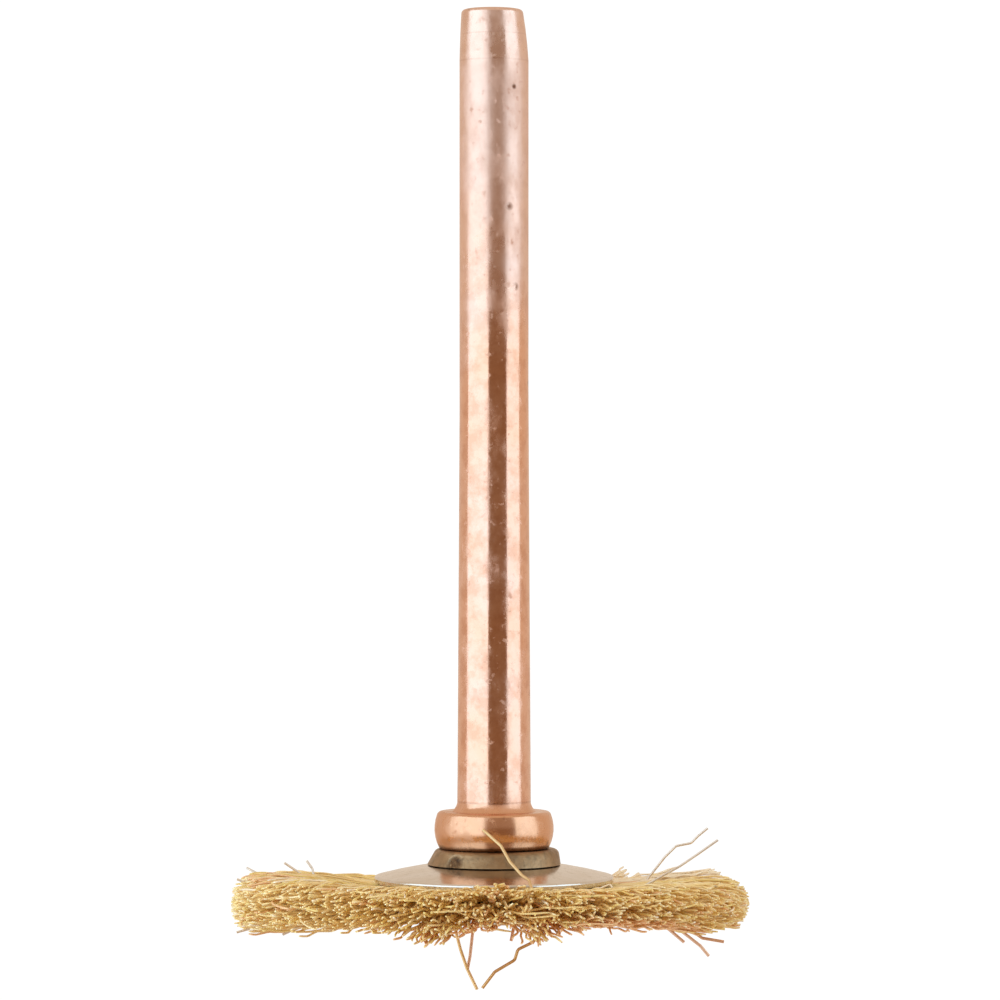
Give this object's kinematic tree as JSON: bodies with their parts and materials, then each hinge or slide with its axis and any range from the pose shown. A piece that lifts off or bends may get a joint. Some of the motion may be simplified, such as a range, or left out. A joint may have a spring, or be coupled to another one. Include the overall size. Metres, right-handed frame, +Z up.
{
  "type": "wire wheel brush",
  "caption": "Small crimped brass wire wheel brush, clamped between a domed and a flat flange on a copper-plated round mandrel for a rotary tool.",
  "frame": {"origin": "on the mandrel's axis, at the height of the lowest loose wire tip, which is what the brush stands on", "axes": "+Z up along the mandrel, from the wheel towards the shank's free end; +X to the right and -Y towards the viewer, on the side where loose wires stand out in front of and below the wheel"},
  "size_m": [0.0223, 0.0222, 0.0419],
  "materials": {
    "copper_plate": "bright copper plating over steel, lightly scratched",
    "nickel_plate": "dull nickel plating, slightly tarnished",
    "steel_wire": "drawn steel wire",
    "brass_wire": "crimped drawn brass wire, a little tarnished"
  },
  "bodies": {
    "root": {"core_ring": "steel_wire", "domed_flange": "nickel_plate", "flat_flange": "nickel_plate", "loose_wire_front_stub": "brass_wire", "loose_wire_left_top_end": "brass_wire", "loose_wire_left_top_inner": "brass_wire", "loose_wire_left_top_mid": "brass_wire", "loose_wire_left_top_outer": "brass_wire", "loose_wire_left_under_end": "brass_wire", "loose_wire_left_under_mid": "brass_wire", "loose_wire_over_flange": "brass_wire", "loose_wire_right_high": "brass_wire", "loose_wire_right_low": "brass_wire", "loose_wire_right_under_flat": "brass_wire", "loose_wire_right_under_long": "brass_wire", "loose_wire_right_under_short": "brass_wire", "loose_wire_vee_inner": "brass_wire", "loose_wire_vee_left": "brass_wire", "loose_wire_vee_right": "brass_wire", "mandrel": "copper_plate", "washer": "nickel_plate", "wire_bundle_01": "brass_wire", "wire_bundle_02": "brass_wire", "wire_bundle_03": "brass_wire", "wire_bundle_04": "brass_wire", "wire_bundle_05": "brass_wire", "wire_bundle_06": "brass_wire", "wire_bundle_07": "brass_wire", "wire_bundle_08": "brass_wire", "wire_bundle_09": "brass_wire", "wire_bundle_10": "brass_wire", "wire_bundle_11": "brass_wire", "wire_bundle_12": "brass_wire", "wire_bundle_13": "brass_wire", "wire_bundle_14": "brass_wire", "wire_bundle_15": "brass_wire", "wire_bundle_16": "brass_wire", "wire_bundle_17": "brass_wire", "wire_bundle_18": "brass_wire", "wire_bundle_19": "brass_wire", "wire_bundle_20": "brass_wire", "wire_bundle_21": "brass_wire", "wire_bundle_22": "brass_wire", "wire_bundle_23": "brass_wire", "wire_bundle_24": "brass_wire"}
  },
  "joints": []
}
